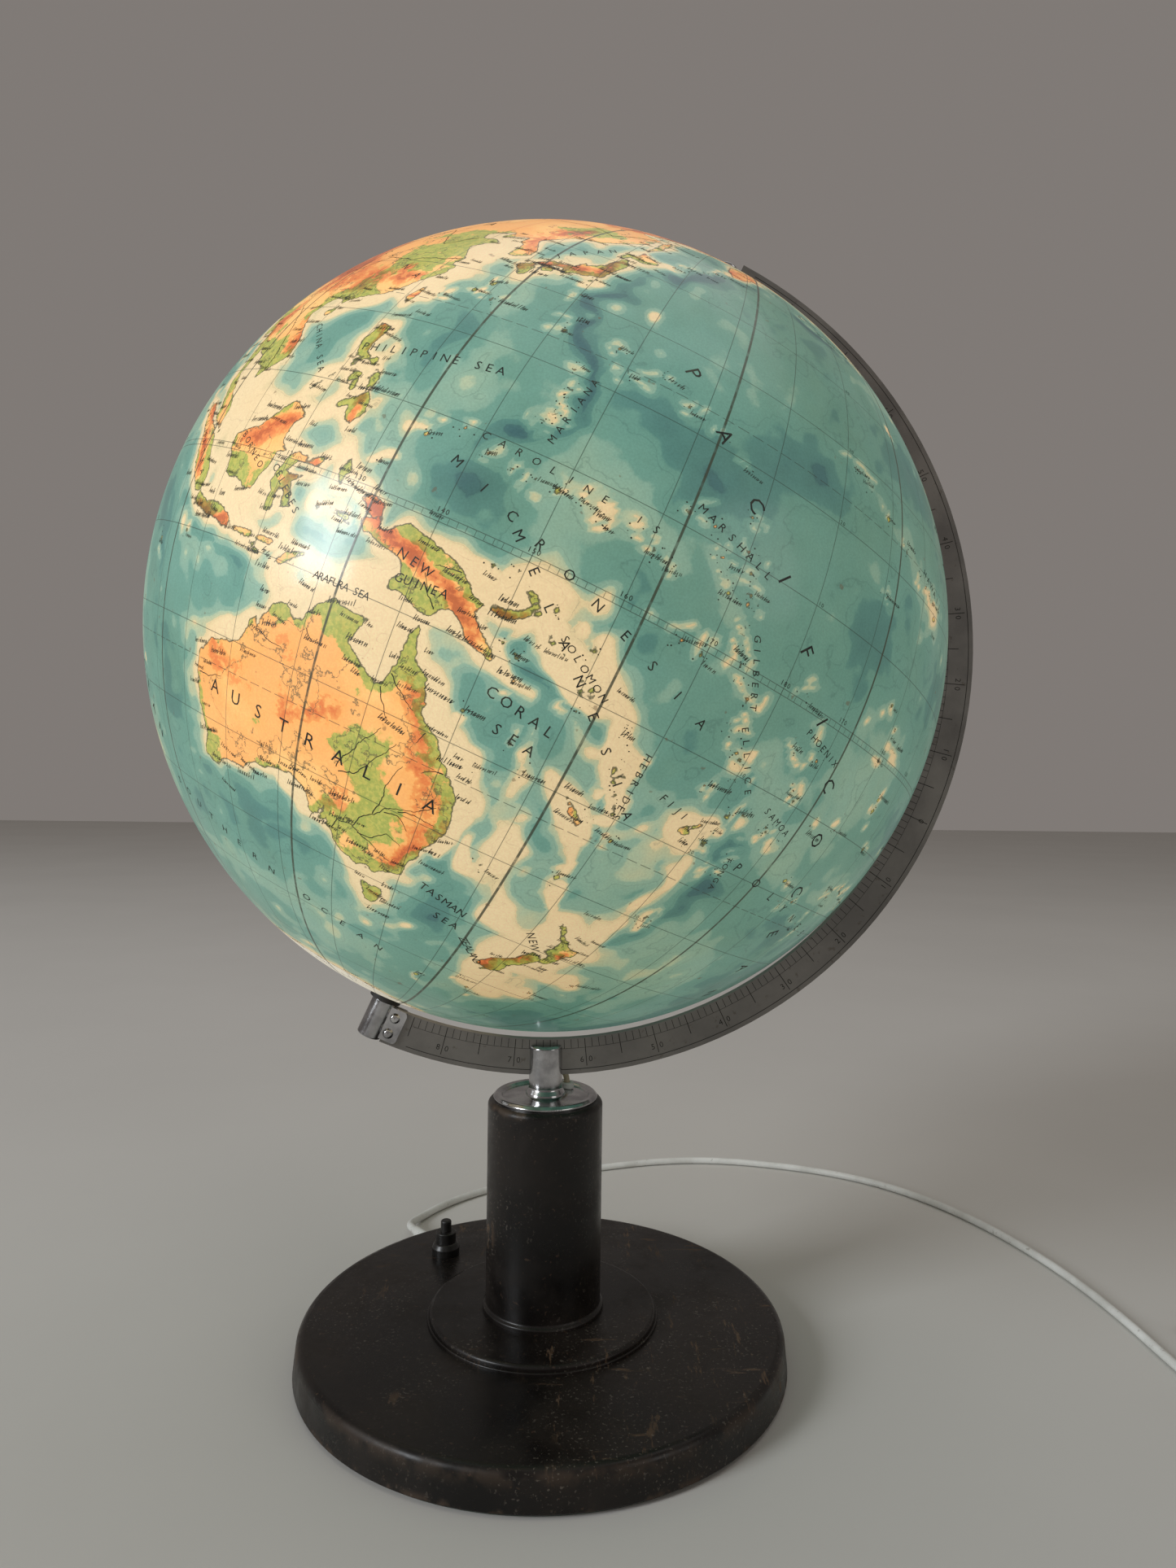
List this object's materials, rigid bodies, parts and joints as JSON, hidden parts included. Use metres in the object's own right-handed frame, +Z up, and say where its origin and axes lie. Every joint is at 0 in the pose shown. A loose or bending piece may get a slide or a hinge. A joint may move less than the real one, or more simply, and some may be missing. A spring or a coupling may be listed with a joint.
{
  "type": "desktop globe on stand",
  "caption": "Lit terrestrial globe that spins on a tilted half-ring meridian, carried by a dark moulded column on a round base with a push-button switch and mains lead.",
  "frame": {"origin": "centre of the felt pad's underside, where the base rests on the table", "axes": "+Z up along the column; +X towards the side that the half ring bulges to, so the globe's north end leans to +X; +Y completes the right-handed frame, towards the side where the mains lead leaves"},
  "size_m": [0.4962, 0.3869, 0.4811],
  "materials": {
    "dark_moulding": "worn semi-gloss moulded resin, dark brown to black",
    "switch_black": "black moulded resin",
    "sheet_steel": "plain rolled sheet",
    "steel": "zinc-plated",
    "felt": "pressed wool felt, dark green",
    "cast_weight": "rough cast",
    "nickel": "nickel-plated, slightly dulled",
    "ring_metal": "dark grey metal with an engraved scale",
    "black_fibre": "pressed fibre",
    "brass_fitting": "turned brass",
    "bulb_glass": "clear glass",
    "filament": "hot wire",
    "map_shell": "printed relief-coloured map under varnish, lit from inside",
    "band_board": "plain board",
    "pale_pvc": "off-white flexible plastic",
    "tie_black": "soft plastic",
    "lead_sleeve": "thin two-core sleeve, beige"
  },
  "bodies": {
    "stand": {"arc_post": "nickel", "ballast_ring": "cast_weight", "base_disc": "dark_moulding", "bottom_cover": "sheet_steel", "bulb_cap": "brass_fitting", "bulb_filament": "filament", "bulb_glass": "bulb_glass", "coil_tie": "tie_black", "column": "dark_moulding", "column_cap": "nickel", "cord_coil": "pale_pvc", "cord_gland": "pale_pvc", "cover_screws": "steel", "felt_pad": "felt", "lamp_holder": "dark_moulding", "lamp_lead": "lead_sleeve", "lamp_tube": "steel", "lead_bush": "pale_pvc", "lead_clips": "nickel", "mains_cord": "pale_pvc", "meridian_arc": "ring_metal", "north_bracket": "nickel", "north_pin": "nickel", "north_rivets": "nickel", "north_spacer": "black_fibre", "plug_body": "pale_pvc", "plug_pins": "brass_fitting", "plug_tail": "pale_pvc", "post_screw": "steel", "south_bracket": "nickel", "south_rivets": "nickel", "south_spacer": "black_fibre", "switch_body": "switch_black", "switch_lead": "pale_pvc", "switch_nut": "switch_black", "switch_tabs": "brass_fitting", "tie_nut": "steel", "tie_rod": "steel", "tie_washer": "steel", "tube_collar": "steel", "tube_lead": "lead_sleeve"},
    "ball": {"north_shell": "map_shell", "south_shell": "map_shell", "equator_band": "band_board", "north_bush": "brass_fitting", "south_bush": "brass_fitting"},
    "push_button": {"switch_plunger": "switch_black"}
  },
  "joints": [
    {"name": "ball_spin", "type": "hinge", "parent": "stand", "child": "ball", "pos_m": [0, 0, 0.3104], "axis": [0.4131, 0, 0.9107], "continuous": true},
    {"name": "switch_press", "type": "slide", "parent": "stand", "child": "push_button", "axis": [0, 0, -1], "range_m": [0, 0.003], "stiffness_N_per_m": 400, "springref_m": -0.001}
  ]
}
